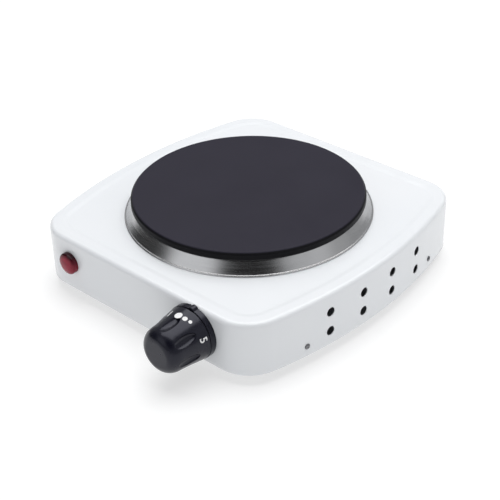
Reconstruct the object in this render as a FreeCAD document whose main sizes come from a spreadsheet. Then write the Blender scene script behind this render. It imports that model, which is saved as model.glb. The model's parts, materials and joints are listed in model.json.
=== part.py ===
import FreeCAD, Part
import math
import os

import Sketcher
from FreeCAD import Placement, Rotation, Vector

# Single-plate electric hot plate.
#
# Row frame: millimetres, +Z up, z = 0 under the feet, the knob and the lamp on the front wall at -Y,
# air holes in the walls at +X and -X, the cord gland in the rear wall at +Y.  The origin is the
# middle of the whole object's footprint, so the body's own centre lies body_y behind it.

SIZES = {
    # body plan: straight front and back, bowed sides, round corners
    "foot_height": 8.0,
    "wall_height": 37.0,
    "half_width": 71.3,
    "half_depth": 80.0,
    "side_bow": 10.6,
    "corner_radius": 26.1,
    "body_y": 11.6,
    "steel": 0.8,
    "top_round": 3.2,
    "inner_round": 2.0,
    "pan_margin": 10.5,
    "pan_depth": 0.6,
    "pan_slope": 0.5,
    "rim_band": 2.8,
    "plate_hole": 77.0,
    # side walls
    "vent_radius": 3.1,
    "vent_pitch": 29.4,
    "vent_low": 17.6,
    "vent_high": 31.6,
    "tab_screw_y": 62.8,
    "tab_screw_z": 15.0,
    "tab_screw_hole": 1.6,
    "tab_screw_head": 2.3,
    "tab_screw_face": 1.5,
    "tab_screw_proud": 1.2,
    "tab_screw_shank": 1.25,
    "tab_screw_length": 7.0,
    # cooking plate
    "plate_y": 10.3,
    "plate_radius": 78.0,
    "plate_top": 59.0,
    "plate_bevel": 1.4,
    "plate_flange_z": 53.2,
    "plate_skirt": 73.5,
    "plate_skirt_z": 46.5,
    "plate_body_z": 52.5,
    "rib": 2.0,
    "rib_inner": 37.0,
    "rib_outer": 53.0,
    "skirt_wall": 3.0,
    "core_radius": 22.0,
    "boss_radius": 9.0,
    "stud_radius": 2.5,
    "coil_wire": 1.9,
    "coil_inner": 29.5,
    "coil_middle": 46.0,
    "coil_outer": 62.75,
    "coil_z": 49.7,
    "seat_gap": 0.05,
    # trim ring
    "ring_radius": 82.9,
    "ring_sheet": 0.6,
    # knob and thermostat
    "knob_x": 50.4,
    "knob_z": 27.2,
    "knob_reach": 32.3,
    "knob_radius": 17.8,
    "knob_waist": 16.0,
    "knob_nose": 14.2,
    "knob_round": 7.0,
    "knob_gap": 0.3,
    "flute_depth": 2.3,
    "flute_half": 3.4,
    "flute_reach": 9.5,
    "flute_y": 10.5,
    "stem_radius": 5.5,
    "shaft_depth": 10.0,
    "knob_cavity": 12.6,
    "bezel_radius": 18.0,
    "bezel_depth": 4.0,
    "bezel_floor": 1.8,
    "bezel_wall": 1.2,
    "bezel_hole": 8.2,
    "pip_radius": 1.6,
    "shaft_radius": 3.0,
    "running_gap": 0.05,
    "bracket_sheet": 1.5,
    "bracket_hole": 5.0,
    "fixing_offset": 9.9,
    "fixing_hole": 1.6,
    "stack_x": 34.3,
    "leaf_y": 28.9,
    "leaf_width": 7.0,
    "leaf_sheet": 0.4,
    "bead_radius": 4.2,
    "rivet_radius": 1.5,
    # pilot lamp
    "lamp_x": -62.3,
    "lamp_z": 28.0,
    "lamp_radius": 7.5,
    "lamp_reach": 5.0,
    "lamp_round": 2.4,
    "lamp_barrel": 5.8,
    "lamp_bore": 4.4,
    "lamp_hole": 6.0,
    # cord gland
    "gland_x": -45.0,
    "gland_z": 22.0,
    "gland_reach": 9.1,
    "gland_bore": 3.6,
    "gland_neck": 6.0,
    "gland_hole": 6.15,
    # floor
    "floor_lift": 1.0,
    "floor_gap": 0.3,
    "floor_rim": 4.0,
    "tab_height": 12.0,
    "tab_width": 20.0,
    "foot_x": 72.0,
    "foot_y": 74.0,
    "foot_radius": 9.0,
    "foot_taper": 1.5,
    "foot_recess": 4.6,
    "recess_depth": 5.0,
    "foot_screw": 2.0,
    "foot_head": 3.8,
    "foot_head_z": 2.6,
    "foot_nut": 4.04,
    "nut_height": 3.2,
    "slot_x": 34.0,
    "slot_length": 36.0,
    "slot_width": 4.0,
    "earth_x": -10.0,
    "earth_y": 60.0,
}

FLUTES = 7
FLUTE_ANGLE = 2.0
PIP_ANGLE = 6.0
ALONG = {
    "x": Rotation(Vector(0, 1, 0), 90),
    "y": Rotation(Vector(1, 0, 0), -90),
    "z": Rotation(),
}

doc = FreeCAD.newDocument("HotPlate")
sheet = doc.addObject("Spreadsheet::Sheet", "Sizes")
parts = []


class Formula:
    """A length worked out from the sheet: its number now, and the text that binds a property to it."""

    def __init__(self, value, text):
        self.value = value
        self.text = text

    def join(self, other, sign, swap=False):
        left, right = (as_formula(other), self) if swap else (self, as_formula(other))
        value = {
            "+": left.value + right.value,
            "-": left.value - right.value,
            "*": left.value * right.value,
        }[sign]
        return Formula(value, "(%s %s %s)" % (left.text, sign, right.text))

    def __add__(self, other):
        return self.join(other, "+")

    def __radd__(self, other):
        return self.join(other, "+", swap=True)

    def __sub__(self, other):
        return self.join(other, "-")

    def __rsub__(self, other):
        return self.join(other, "-", swap=True)

    def __mul__(self, other):
        return self.join(other, "*")

    def __rmul__(self, other):
        return self.join(other, "*", swap=True)

    def __neg__(self):
        return self * -1

    def over(self, other):
        other = as_formula(other)
        return Formula(self.value / other.value, "(%s / %s)" % (self.text, other.text))


def as_formula(amount):
    if isinstance(amount, Formula):
        return amount
    return Formula(float(amount), "(%r)" % float(amount))


class Named:
    """The sheet's cells as formulas: S.wall_height and so on."""

    def __getattr__(self, name):
        return Formula(SIZES[name], "Sizes." + name)


S = Named()


def fill_sheet():
    for row, (name, value) in enumerate(SIZES.items(), start=1):
        sheet.set("A%d" % row, name)
        sheet.set("B%d" % row, repr(value))
        sheet.setAlias("B%d" % row, name)
    doc.recompute()


def bind(item, path, amount):
    item.setExpression(path, as_formula(amount).text)


def place(item, at, turn=None):
    item.Placement = Placement(Vector(*[as_formula(v).value for v in at]), turn or Rotation())
    for axis, amount in zip("xyz", at):
        bind(item, "Placement.Base." + axis, amount)


def publish(item, label):
    item.Label = label
    parts.append(item)
    return item


# ---- solids from primitives -------------------------------------------------------------------


def box(low, size):
    item = doc.addObject("Part::Box", "Block")
    for name, amount in zip(("Length", "Width", "Height"), size):
        bind(item, name, amount)
    place(item, low)
    return item


def rod(at, axis, radius, length, turn=None):
    item = doc.addObject("Part::Cylinder", "Rod")
    bind(item, "Radius", radius)
    bind(item, "Height", length)
    place(item, at, turn or ALONG[axis])
    return item


def hexagon(at, across_corners, height):
    item = doc.addObject("Part::Prism", "Hexagon")
    item.Polygon = 6
    bind(item, "Circumradius", across_corners)
    bind(item, "Height", height)
    place(item, at)
    return item


def fuse(items):
    item = doc.addObject("Part::MultiFuse", "Joined")
    item.Shapes = items
    return item


def cut(base, tools):
    item = doc.addObject("Part::Cut", "Bored")
    item.Base = base
    item.Tool = tools[0] if len(tools) == 1 else fuse(tools)
    return item


def tube(at, axis, outer, inner, length):
    return cut(rod(at, axis, outer, length), [rod(at, axis, inner, length)])


# ---- solids from sketches ---------------------------------------------------------------------


def new_body(label, at, turn=None):
    body = doc.addObject("PartDesign::Body", label)
    place(body, at, turn)
    return body


def new_sketch(body, plane, level=0):
    sketch = body.newObject("Sketcher::SketchObject", "Sketch")
    for feature in body.Origin.OriginFeatures:
        if feature.Role == plane:
            sketch.AttachmentSupport = (feature, [""])
    sketch.MapMode = "FlatFace"
    bind(sketch, "AttachmentOffset.Base.z", level)
    return sketch


def dimension(sketch, kind, amount, *where):
    amount = as_formula(amount)
    index = sketch.addConstraint(Sketcher.Constraint(kind, *where, amount.value))
    bind(sketch, "Constraints[%d]" % index, amount)


def pin_point(sketch, geometry, vertex, x, y):
    for kind, axis, amount in (("DistanceX", -2, x), ("DistanceY", -1, y)):
        if as_formula(amount).value == 0:
            sketch.addConstraint(Sketcher.Constraint("PointOnObject", geometry, vertex, axis))
        else:
            dimension(sketch, kind, amount, -1, 1, geometry, vertex)


def draw_polygon(sketch, points):
    ends = [Vector(as_formula(x).value, as_formula(y).value, 0) for x, y in points]
    count = len(points)
    for i in range(count):
        sketch.addGeometry(Part.LineSegment(ends[i], ends[(i + 1) % count]), False)
    for i, (x, y) in enumerate(points):
        sketch.addConstraint(Sketcher.Constraint("Coincident", i, 2, (i + 1) % count, 1))
        pin_point(sketch, i, 1, x, y)


def draw_circles(sketch, circles):
    for x, y, radius in circles:
        centre = Vector(as_formula(x).value, as_formula(y).value, 0)
        ring = Part.Circle(centre, Vector(0, 0, 1), as_formula(radius).value)
        index = sketch.addGeometry(ring, False)
        dimension(sketch, "Radius", radius, index)
        pin_point(sketch, index, 3, x, y)


def draw_outline(sketch, inset):
    """The body's plan, drawn inset inwards of the wall's outer face."""
    a, b = S.half_width.value, S.half_depth.value
    corner = S.corner_radius - inset
    bow = (S.half_depth * S.half_depth + S.side_bow * S.side_bow).over(2 * S.side_bow)
    side = bow + corner
    r = corner.value
    lean = math.asin(b / bow.value)
    middle = a + S.side_bow.value - bow.value
    up = math.pi / 2
    turns = [
        (Vector(a, -b, 0), r, -up, -lean),
        (Vector(middle, 0, 0), side.value, -lean, lean),
        (Vector(a, b, 0), r, lean, up),
        (Vector(-a, b, 0), r, up, 2 * up - lean),
        (Vector(-middle, 0, 0), side.value, 2 * up - lean, 2 * up + lean),
        (Vector(-a, -b, 0), r, 2 * up + lean, 3 * up),
    ]
    arcs = [Part.ArcOfCircle(Part.Circle(c, Vector(0, 0, 1), size), start, end)
            for c, size, start, end in turns]
    front = Part.LineSegment(Vector(-a, -b - r, 0), Vector(a, -b - r, 0))
    back = Part.LineSegment(Vector(a, b + r, 0), Vector(-a, b + r, 0))
    first = sketch.GeometryCount
    sketch.addGeometry([front] + arcs[:3] + [back] + arcs[3:], False)
    for i in range(8):
        here, after = first + i, first + (i + 1) % 8
        sketch.addConstraint(Sketcher.Constraint("Tangent", here, 2, after, 1))
    for step, x, y in ((1, 1, -1), (3, 1, 1), (5, -1, 1), (7, -1, -1)):
        dimension(sketch, "Radius", corner, first + step)
        dimension(sketch, "DistanceX", S.half_width * x, -1, 1, first + step, 3)
        dimension(sketch, "DistanceY", S.half_depth * y, -1, 1, first + step, 3)
    dimension(sketch, "Radius", side, first + 2)
    dimension(sketch, "Radius", side, first + 6)


def pad(body, sketch, length):
    feature = body.newObject("PartDesign::Pad", "Pad")
    feature.Profile = sketch
    bind(feature, "Length", length)
    doc.recompute()
    return feature


def pocket(body, sketch, length, along_normal=False):
    before = body.Shape.Volume
    feature = body.newObject("PartDesign::Pocket", "Pocket")
    feature.Profile = sketch
    feature.Reversed = along_normal
    bind(feature, "Length", length)
    doc.recompute()
    if body.Shape.Volume > before - 0.01:
        raise RuntimeError("a pocket in %s cuts nothing" % body.Name)
    return feature


def revolve(body, sketch):
    feature = body.newObject("PartDesign::Revolution", "Turned")
    feature.Profile = sketch
    feature.ReferenceAxis = (sketch, ["V_Axis"])
    feature.Angle = 360
    doc.recompute()
    return feature


def soften(body, feature, kind, size, wanted):
    """Round or chamfer the edges of feature that wanted() picks."""
    names = ["Edge%d" % (i + 1) for i, edge in enumerate(feature.Shape.Edges) if wanted(edge)]
    item = body.newObject("PartDesign::" + kind, kind)
    item.Base = (feature, names)
    bind(item, "Radius" if kind == "Fillet" else "Size", size)
    doc.recompute()
    return item


def at_height(level):
    level = as_formula(level).value
    return lambda edge: all(abs(v.Point.z - level) < 0.01 for v in edge.Vertexes)


def ring_edge(radius, reach):
    """Picks the round edge of a piece turned about Y, by its radius and its place along Y."""
    radius, reach = as_formula(radius).value, as_formula(reach).value

    def wanted(edge):
        mid = edge.valueAt((edge.FirstParameter + edge.LastParameter) / 2)
        return abs(math.hypot(mid.x, mid.z) - radius) < 0.01 and abs(mid.y - reach) < 0.01

    return wanted


def turned_z(label, at, points):
    """A piece turned about its own Z: points are (radius, z)."""
    body = new_body(label, at)
    sketch = new_sketch(body, "XZ_Plane")
    draw_polygon(sketch, points)
    revolve(body, sketch)
    return body


def turned_y(label, at, points):
    """A piece turned about its own Y: points are (radius, y)."""
    body = new_body(label, at)
    sketch = new_sketch(body, "XY_Plane")
    draw_polygon(sketch, points)
    revolve(body, sketch)
    return body


# ---- shared places ----------------------------------------------------------------------------

FRONT_Y = S.body_y - S.half_depth - S.corner_radius
BACK_Y = S.body_y + S.half_depth + S.corner_radius
RIM_Z = S.foot_height + S.wall_height
PAN_Z = RIM_Z - S.pan_depth
PAN_UNDER_Z = PAN_Z - S.steel
FLOOR_Z = S.foot_height + S.floor_lift
FLOOR_TOP_Z = FLOOR_Z + S.steel


def side_point(y, z):
    """Where the right-hand wall's outer face is at y from the body's centre, and how it leans there."""
    bow = (SIZES["half_depth"] ** 2 + SIZES["side_bow"] ** 2) / (2 * SIZES["side_bow"])
    outer = bow + SIZES["corner_radius"]
    lean = math.asin(y / outer)
    x = SIZES["half_width"] + SIZES["side_bow"] - bow + outer * math.cos(lean)
    return Vector(x, SIZES["body_y"] + y, z), math.degrees(lean)


# ---- body -------------------------------------------------------------------------------------


def make_casing():
    """Drawn and enamelled steel shell: spill pan on top, plate opening, open underneath."""
    body = new_body("casing", (0, S.body_y, S.foot_height))
    plan = new_sketch(body, "XY_Plane")
    draw_outline(plan, 0)
    block = pad(body, plan, S.wall_height)
    soften(body, block, "Fillet", S.top_round, at_height(S.wall_height))

    pan = new_sketch(body, "XY_Plane", S.wall_height)
    draw_outline(pan, S.pan_margin)
    dished = pocket(body, pan, S.pan_depth)
    inside = SIZES["half_depth"] + SIZES["corner_radius"] - SIZES["pan_margin"] + 0.01

    def pan_edge(edge):
        return at_height(S.wall_height)(edge) and all(abs(v.Y) < inside for v in edge.Vertexes)

    soften(body, dished, "Chamfer", S.pan_slope, pan_edge)

    room = S.wall_height - S.pan_depth - S.steel
    hollow = new_sketch(body, "XY_Plane")
    draw_outline(hollow, S.steel)
    cavity = pocket(body, hollow, room, along_normal=True)
    soften(body, cavity, "Fillet", S.inner_round, at_height(room))

    band = new_sketch(body, "XY_Plane", room)
    draw_outline(band, S.rim_band)
    draw_outline(band, S.pan_margin - S.steel)
    pocket(body, band, S.pan_depth, along_normal=True)

    opening = new_sketch(body, "XY_Plane", S.wall_height)
    draw_circles(opening, [(0, S.plate_y - S.body_y, S.plate_hole)])
    pocket(body, opening, 4 * S.steel)

    wall = S.half_depth + S.corner_radius
    front = new_sketch(body, "XZ_Plane", wall)
    knob_z = S.knob_z - S.foot_height
    holes = [(S.knob_x, knob_z, S.bracket_hole + 0.5)]
    for side in (-1, 1):
        offset = S.fixing_offset * side
        holes.append((S.knob_x + offset, knob_z + offset, S.fixing_hole))
    holes.append((S.lamp_x, S.lamp_z - S.foot_height, S.lamp_hole))
    draw_circles(front, holes)
    pocket(body, front, 4 * S.steel)

    rear = new_sketch(body, "XZ_Plane", -wall)
    draw_circles(rear, [(S.gland_x, S.gland_z - S.foot_height, S.gland_hole)])
    pocket(body, rear, 4 * S.steel, along_normal=True)

    air = []
    for column in (-1.5, -0.5, 0.5, 1.5):
        for height in (S.vent_low, S.vent_high):
            air.append((S.vent_pitch * column, height - S.foot_height, S.vent_radius))
    for side in (-1, 1):
        air.append((S.tab_screw_y * side, S.tab_screw_z - S.foot_height, S.tab_screw_hole))
    widest = S.half_width + S.side_bow + S.corner_radius
    for side in (-1, 1):
        flank = new_sketch(body, "YZ_Plane", widest * side)
        draw_circles(flank, air)
        pocket(body, flank, S.corner_radius, along_normal=side < 0)
    publish(body, "casing")


SLOT_ROWS = (-30, -18, -6, 6, 18, 30)


def make_base_plate():
    """Steel floor with an upturned rim, four tall screw tabs, air slots and foot holes."""
    inset = S.steel + S.floor_gap
    body = new_body("floor", (0, S.body_y, FLOOR_Z))
    plan = new_sketch(body, "XY_Plane")
    draw_outline(plan, inset)
    pad(body, plan, S.tab_height)
    tray = new_sketch(body, "XY_Plane", S.tab_height)
    draw_outline(tray, inset + S.steel)
    pocket(body, tray, S.tab_height - S.steel)

    reach = S.half_width + S.side_bow + S.corner_radius
    spare = S.tab_height - S.floor_rim
    rim_z = FLOOR_Z + S.floor_rim
    tab_low = S.tab_screw_y - S.tab_width * 0.5
    end = S.half_depth + S.corner_radius - tab_low - S.tab_width
    trims = [box((-reach, S.body_y - tab_low, rim_z), (2 * reach, 2 * tab_low, spare))]
    for y in (S.body_y - tab_low - S.tab_width - end, S.body_y + tab_low + S.tab_width):
        trims.append(box((-reach, y, rim_z), (2 * reach, end, spare)))

    half_slot, half_wide = S.slot_length * 0.5, S.slot_width * 0.5
    for x in (-S.slot_x, S.slot_x):
        for y in SLOT_ROWS:
            at = (x - half_slot, S.body_y + y - half_wide, FLOOR_Z - 1)
            trims.append(box(at, (S.slot_length, S.slot_width, 4 * S.steel)))
            for tip in (x - half_slot, x + half_slot):
                at = (tip, S.body_y + y, FLOOR_Z - 1)
                trims.append(rod(at, "z", half_wide, 4 * S.steel))
    for x in (-1, 1):
        for y in (-1, 1):
            at = (S.foot_x * x, S.body_y + S.foot_y * y, FLOOR_Z - 1)
            trims.append(rod(at, "z", S.foot_screw + 0.2, 4 * S.steel))
            point, lean = side_point(SIZES["tab_screw_y"] * y, SIZES["tab_screw_z"])
            turn = Rotation(Vector(0, 0, 1), lean if x > 0 else 180 - lean) * ALONG["x"]
            inward = turn.multVec(Vector(0, 0, -6))
            start = (point.x * x + inward.x, point.y + inward.y, point.z)
            trims.append(rod(start, "x", S.tab_screw_shank + S.running_gap, 8, turn))
    trims.append(rod((S.earth_x, S.earth_y, FLOOR_Z - 1), "z", 2.2, 4 * S.steel))
    publish(cut(body, trims), "base_plate")


SCREW_GAP = 0.02


def make_base_screws():
    """Four cross-head screws that hold the floor's tabs to the side walls."""
    screws = []
    for x in (-1, 1):
        for y in (-1, 1):
            point, lean = side_point(SIZES["tab_screw_y"] * y, SIZES["tab_screw_z"])
            turn = Rotation(Vector(0, 0, 1), lean if x > 0 else 180 - lean) * ALONG["x"]
            out = turn.multVec(Vector(0, 0, 1))
            at = (point.x * x + SCREW_GAP * out.x, point.y + SCREW_GAP * out.y, point.z)
            length = S.tab_screw_length
            tail = (at[0] - length * out.x, at[1] - length * out.y, at[2])
            head = doc.addObject("Part::Cone", "Head")
            bind(head, "Radius1", S.tab_screw_head)
            bind(head, "Radius2", S.tab_screw_face)
            bind(head, "Height", S.tab_screw_proud)
            place(head, at, turn)
            screws.append(fuse([head, rod(tail, "x", S.tab_screw_shank, length, turn)]))
    publish(fuse(screws), "base_screws")


def make_feet():
    """Rubber feet, their screws from below and the nuts on the floor."""
    feet, screws, nuts = [], [], []
    for x in (-1, 1):
        for y in (-1, 1):
            at = (S.foot_x * x, S.body_y + S.foot_y * y, 0)
            bore = S.foot_screw + 0.2
            profile = [
                (bore, S.recess_depth),
                (S.foot_recess, S.recess_depth),
                (S.foot_recess, 0),
                (S.foot_radius - S.foot_taper, 0),
                (S.foot_radius, FLOOR_Z),
                (bore, FLOOR_Z),
            ]
            feet.append(turned_z("foot", at, profile))
            head_at = (at[0], at[1], S.foot_head_z)
            shank = rod(head_at, "z", S.foot_screw, 12)
            head = rod(head_at, "z", S.foot_head, S.recess_depth - S.foot_head_z)
            screws.append(fuse([shank, head]))
            nut_at = (at[0], at[1], FLOOR_TOP_Z)
            thread = rod(nut_at, "z", S.foot_screw + S.running_gap, S.nut_height)
            nuts.append(cut(hexagon(nut_at, S.foot_nut, S.nut_height), [thread]))
    publish(fuse(feet), "feet")
    publish(fuse(screws), "foot_screws")
    publish(fuse(nuts), "foot_nuts")


# ---- cooking plate ----------------------------------------------------------------------------


STUD_TOP_Z = 53.9


def make_hot_plate():
    """Cast-iron disc: chamfered flange, skirt, two ribs between the coil grooves, centre boss."""
    groove, low = S.plate_body_z, S.plate_skirt_z
    points = [
        (0, S.plate_top),
        (S.plate_radius - S.plate_bevel, S.plate_top),
        (S.plate_radius, S.plate_top - S.plate_bevel),
        (S.plate_radius, S.plate_flange_z + 0.5),
        (S.plate_radius - 0.5, S.plate_flange_z),
        (S.plate_skirt, S.plate_flange_z),
        (S.plate_skirt, low),
        (S.plate_skirt - S.skirt_wall, low),
        (S.plate_skirt - S.skirt_wall, groove),
    ]
    for rib in (S.rib_outer, S.rib_inner):
        points += [(rib + S.rib, groove), (rib + S.rib, low), (rib, low), (rib, groove)]
    points += [
        (S.core_radius, groove),
        (S.core_radius, low),
        (S.core_radius - S.skirt_wall, low),
        (S.core_radius - S.skirt_wall, groove),
        (S.boss_radius, groove),
        (S.boss_radius, low),
        (S.stud_radius + S.seat_gap, low),
        (S.stud_radius + S.seat_gap, STUD_TOP_Z + 0.1),
        (0, STUD_TOP_Z + 0.1),
    ]
    publish(turned_z("iron", (0, S.plate_y, 0), points), "hot_plate")


PIN_RADIUS = 1.1
PIN_END_Z = 39.5
BED_GAP = 0.25
TERMINALS = (S.coil_inner, S.coil_middle)


def make_heater():
    """Resistance coils bedded in magnesia in the grooves, and the pins that feed them."""
    grooves = (
        (S.core_radius, S.rib_inner, S.coil_inner),
        (S.rib_inner + S.rib, S.rib_outer, S.coil_middle),
        (S.rib_outer + S.rib, S.plate_skirt - S.skirt_wall, S.coil_outer),
    )
    fill_z = S.plate_skirt_z + 0.4
    fill = S.plate_body_z - S.seat_gap - fill_z
    beds, coils = [], []
    for inner, outer, middle in grooves:
        rings = []
        for wire in (S.coil_wire, S.coil_wire + BED_GAP):
            ring = doc.addObject("Part::Torus", "Coil")
            bind(ring, "Radius1", middle)
            bind(ring, "Radius2", wire)
            place(ring, (0, S.plate_y, S.coil_z))
            rings.append(ring)
        coils.append(rings[0])
        bed = tube((0, S.plate_y, fill_z), "z", outer - S.seat_gap, inner + S.seat_gap, fill)
        tools = [rings[1]]
        if middle.text != S.coil_outer.text:
            tools.append(rod((-middle, S.plate_y, fill_z - 1), "z", PIN_RADIUS + 0.1, 3))
        beds.append(cut(bed, tools))
    publish(fuse(beds), "magnesia_fill")
    publish(fuse(coils), "heating_coils")

    pins = []
    for x in TERMINALS:
        pins.append(rod((-x, S.plate_y, PIN_END_Z), "z", PIN_RADIUS, S.coil_z - 2.0 - PIN_END_Z))
    publish(fuse(pins), "heater_pins")

    lid_z = S.plate_skirt_z - 0.6
    lid = tube((0, S.plate_y, lid_z), "z", S.plate_skirt - 0.2, S.stud_radius + 0.5, 0.5)
    gaps = [rod((-x, S.plate_y, lid_z - 0.9), "z", PIN_RADIUS + 1, 2) for x in TERMINALS]
    publish(cut(lid, gaps), "heater_cover")


def make_trim_ring():
    """Pressed stainless collar: tucked under the plate's flange, flared out to a lip on the pan."""
    sheet_steel, top = S.ring_sheet, S.plate_flange_z - S.seat_gap
    foot = PAN_Z + S.seat_gap
    outer = [
        (S.plate_skirt + 0.4, top),
        (S.plate_skirt + 2.9, top),
        (S.plate_skirt + 3.6, top - 0.9),
        (S.plate_skirt + 5.8, top - 4.3),
        (S.ring_radius - 0.8, foot + 1.0),
        (S.ring_radius, foot + 0.6),
    ]
    inner = [
        (S.ring_radius, foot),
        (S.ring_radius - 1.0, foot + 0.35),
        (S.plate_skirt + 5.3, top - 4.7),
        (S.plate_skirt + 3.0, top - 1.2),
        (S.plate_skirt + 2.6, top - sheet_steel),
        (S.plate_skirt + 0.4, top - sheet_steel),
    ]
    publish(turned_z("collar", (0, S.plate_y, 0), outer + inner), "trim_ring")


def make_plate_clamp():
    """Stud, hat-shaped bar, washer and nut that pull the plate down on the casing."""
    stud_z = 29
    publish(rod((0, S.plate_y, stud_z), "z", S.stud_radius, STUD_TOP_Z - stud_z), "plate_stud")

    width = 14
    body = new_body("bar", (0, S.plate_y + width * 0.5, 0))
    top = PAN_UNDER_Z - S.seat_gap
    thick, low = 1.5, 37
    end, shoulder, foot = 84, 72, 62
    upper = [(end, top), (shoulder, top), (foot, low)]
    lower = [(foot + 0.8, low - thick), (shoulder + 0.8, top - thick), (end, top - thick)]
    left_upper = [(-x, z) for x, z in reversed(upper)]
    left_lower = [(-x, z) for x, z in reversed(lower)]
    sketch = new_sketch(body, "XZ_Plane")
    draw_polygon(sketch, upper + left_upper + left_lower + lower)
    pad(body, sketch, width)
    hole = rod((0, S.plate_y, 30), "z", S.stud_radius + 0.25, 10)
    publish(cut(body, [hole]), "clamp_bar")

    washer_z = low - thick - 1.1
    publish(tube((0, S.plate_y, washer_z), "z", 5, S.stud_radius + 0.25, 1), "plate_washer")
    nut_height = 4
    nut_at = (0, S.plate_y, washer_z - nut_height - 0.1)
    bore = rod(nut_at, "z", S.stud_radius + S.running_gap, nut_height)
    publish(cut(hexagon(nut_at, 4.62, nut_height), [bore]), "plate_nut")

    block_z = low + 0.1
    block = box((-52, S.plate_y - 7, block_z), (28, 14, 6.6))
    sockets = [rod((-x, S.plate_y, block_z), "z", PIN_RADIUS + 0.1, 7) for x in TERMINALS]
    publish(cut(block, sockets), "heater_terminal_block")

    fuse_case = rod((-S.coil_inner, -24, 40), "y", 2.2, 12)
    leads = rod((-S.coil_inner, -27, 40), "y", 0.6, 18)
    publish(fuse([fuse_case, leads]), "thermal_fuse")


# ---- knob and thermostat ----------------------------------------------------------------------


def on_knob_axis(depth):
    """A point on the knob's axis, depth behind the front wall's outer face."""
    return (S.knob_x, FRONT_Y + depth, S.knob_z)


def make_bezel():
    """Fixed ring behind the knob, with the index pip on its top, held by the bracket's screws."""
    points = [
        (S.bezel_hole, 0),
        (S.bezel_radius, 0),
        (S.bezel_radius, -S.bezel_depth),
        (S.bezel_radius - S.bezel_wall, -S.bezel_depth),
        (S.bezel_radius - S.bezel_wall, -S.bezel_floor),
        (S.bezel_hole, -S.bezel_floor),
    ]
    ring = turned_y("bezel", on_knob_axis(0), points)
    tilt = math.radians(PIP_ANGLE)
    offset = S.bezel_radius - 0.5
    pip_at = (S.knob_x + offset * math.sin(tilt), FRONT_Y - S.bezel_depth,
              S.knob_z + offset * math.cos(tilt))
    pip = rod(pip_at, "y", S.pip_radius, S.bezel_depth)
    holes = []
    for side in (-1, 1):
        offset = S.fixing_offset * side
        at = (S.knob_x + offset, FRONT_Y - 10, S.knob_z + offset)
        holes.append(rod(at, "y", S.fixing_hole, 10))
    publish(cut(fuse([ring, pip]), holes), "knob_bezel")


def make_knob():
    """Hollow moulded knob: plain skirt, finger flutes, rounded nose and a stem with a D bore."""
    back = -S.bezel_depth - S.knob_gap
    nose = -S.knob_reach
    bore = S.shaft_radius + S.running_gap
    points = [
        (S.knob_cavity, back),
        (S.knob_radius, back),
        (S.knob_waist, back - 12),
        (S.knob_nose, nose),
        (0, nose),
        (0, nose + S.shaft_depth),
        (bore, nose + S.shaft_depth),
        (bore, back + 2),
        (S.stem_radius, back + 2),
        (S.stem_radius, nose + 4.5),
        (S.knob_cavity - 4.5, nose + 4.5),
        (S.knob_cavity, nose + 9.5),
    ]
    body = turned_y("grip", on_knob_axis(0), points)
    soften(body, body.Tip, "Fillet", S.knob_round, ring_edge(S.knob_nose, nose))
    scoops = []
    for i in range(FLUTES):
        turn = 2 * math.pi * i / FLUTES + math.radians(FLUTE_ANGLE)
        scoop = doc.addObject("Part::Ellipsoid", "Scoop")
        bind(scoop, "Radius1", S.flute_depth)
        bind(scoop, "Radius2", S.flute_half)
        bind(scoop, "Radius3", S.flute_reach)
        scoop.Angle1, scoop.Angle2, scoop.Angle3 = -90, 90, 360
        offset = S.knob_waist + 0.3
        at = (S.knob_x + offset * math.sin(turn), FRONT_Y + nose + S.flute_y,
              S.knob_z + offset * math.cos(turn))
        place(scoop, at, Rotation(Vector(0, 1, 0), math.degrees(turn)))
        scoops.append(scoop)
    publish(cut(body, scoops), "knob")


def make_shaft():
    """Thermostat shaft: flatted for the knob, with a collar behind the bush."""
    start = -S.knob_reach + S.shaft_depth + 0.5
    length = 20.5 - start
    rod_part = rod(on_knob_axis(start), "y", S.shaft_radius, length)
    collar = rod(on_knob_axis(10.8), "y", 4.6, 1.5)
    flat_at = (S.knob_x - 4, FRONT_Y + start - 1, S.knob_z + 1.6)
    flat = box(flat_at, (8, 14, 4))
    publish(cut(fuse([rod_part, collar]), [flat]), "knob_shaft")

    leaf_at = (S.knob_x - 1.6, FRONT_Y + start + 0.5, S.knob_z + 1.75)
    publish(box(leaf_at, (3.2, 11, 0.5)), "knob_spring")


def make_bracket():
    """Thermostat's bracket and bush, and the two screws that hold it and the bezel."""
    back = S.steel + 0.1
    low = (S.stack_x - 6, FRONT_Y + back, S.knob_z - 13.5)
    width = S.knob_x + 14 - S.stack_x + 6
    plate = box(low, (width, S.bracket_sheet, 27))
    holes = [rod(on_knob_axis(0), "y", S.bracket_hole, 5)]
    screws = []
    for side in (-1, 1):
        offset = S.fixing_offset * side
        at = (S.knob_x + offset, FRONT_Y - S.bezel_floor, S.knob_z + offset)
        holes.append(rod(at, "y", 1.5, 10))
        head = rod((at[0], at[1] - 1.7, at[2]), "y", 2.6, 1.7)
        screws.append(fuse([head, rod(at, "y", 1.45, 7)]))
    holes.append(rod((S.stack_x, FRONT_Y, S.knob_z), "y", S.rivet_radius + S.seat_gap, 5))
    publish(cut(plate, holes), "thermostat_bracket")
    publish(fuse(screws), "bracket_screws")

    outer = S.bracket_hole - S.running_gap
    publish(tube(on_knob_axis(-1), "y", outer, S.shaft_radius + S.running_gap, 11.5),
            "thermostat_bush")


def make_adjusting_pin():
    """Sleeve that runs on the shaft's end and pushes the contact leaf through its tip."""
    sleeve_start = 14.0
    cap = rod(on_knob_axis(22.0), "y", 4.6, 1.5)
    tip_start = 23.5
    tip = rod(on_knob_axis(tip_start), "y", 1.0, S.leaf_y - 0.25 - tip_start)
    sleeve = tube(on_knob_axis(sleeve_start), "y", 4.6, S.shaft_radius + S.running_gap, 8.0)
    publish(fuse([sleeve, cap, tip]), "adjusting_pin")


LEAF_ROOT_X = 39.3
LEAF_ROLL = 0.4
CONTACT_X = 55.3


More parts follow.
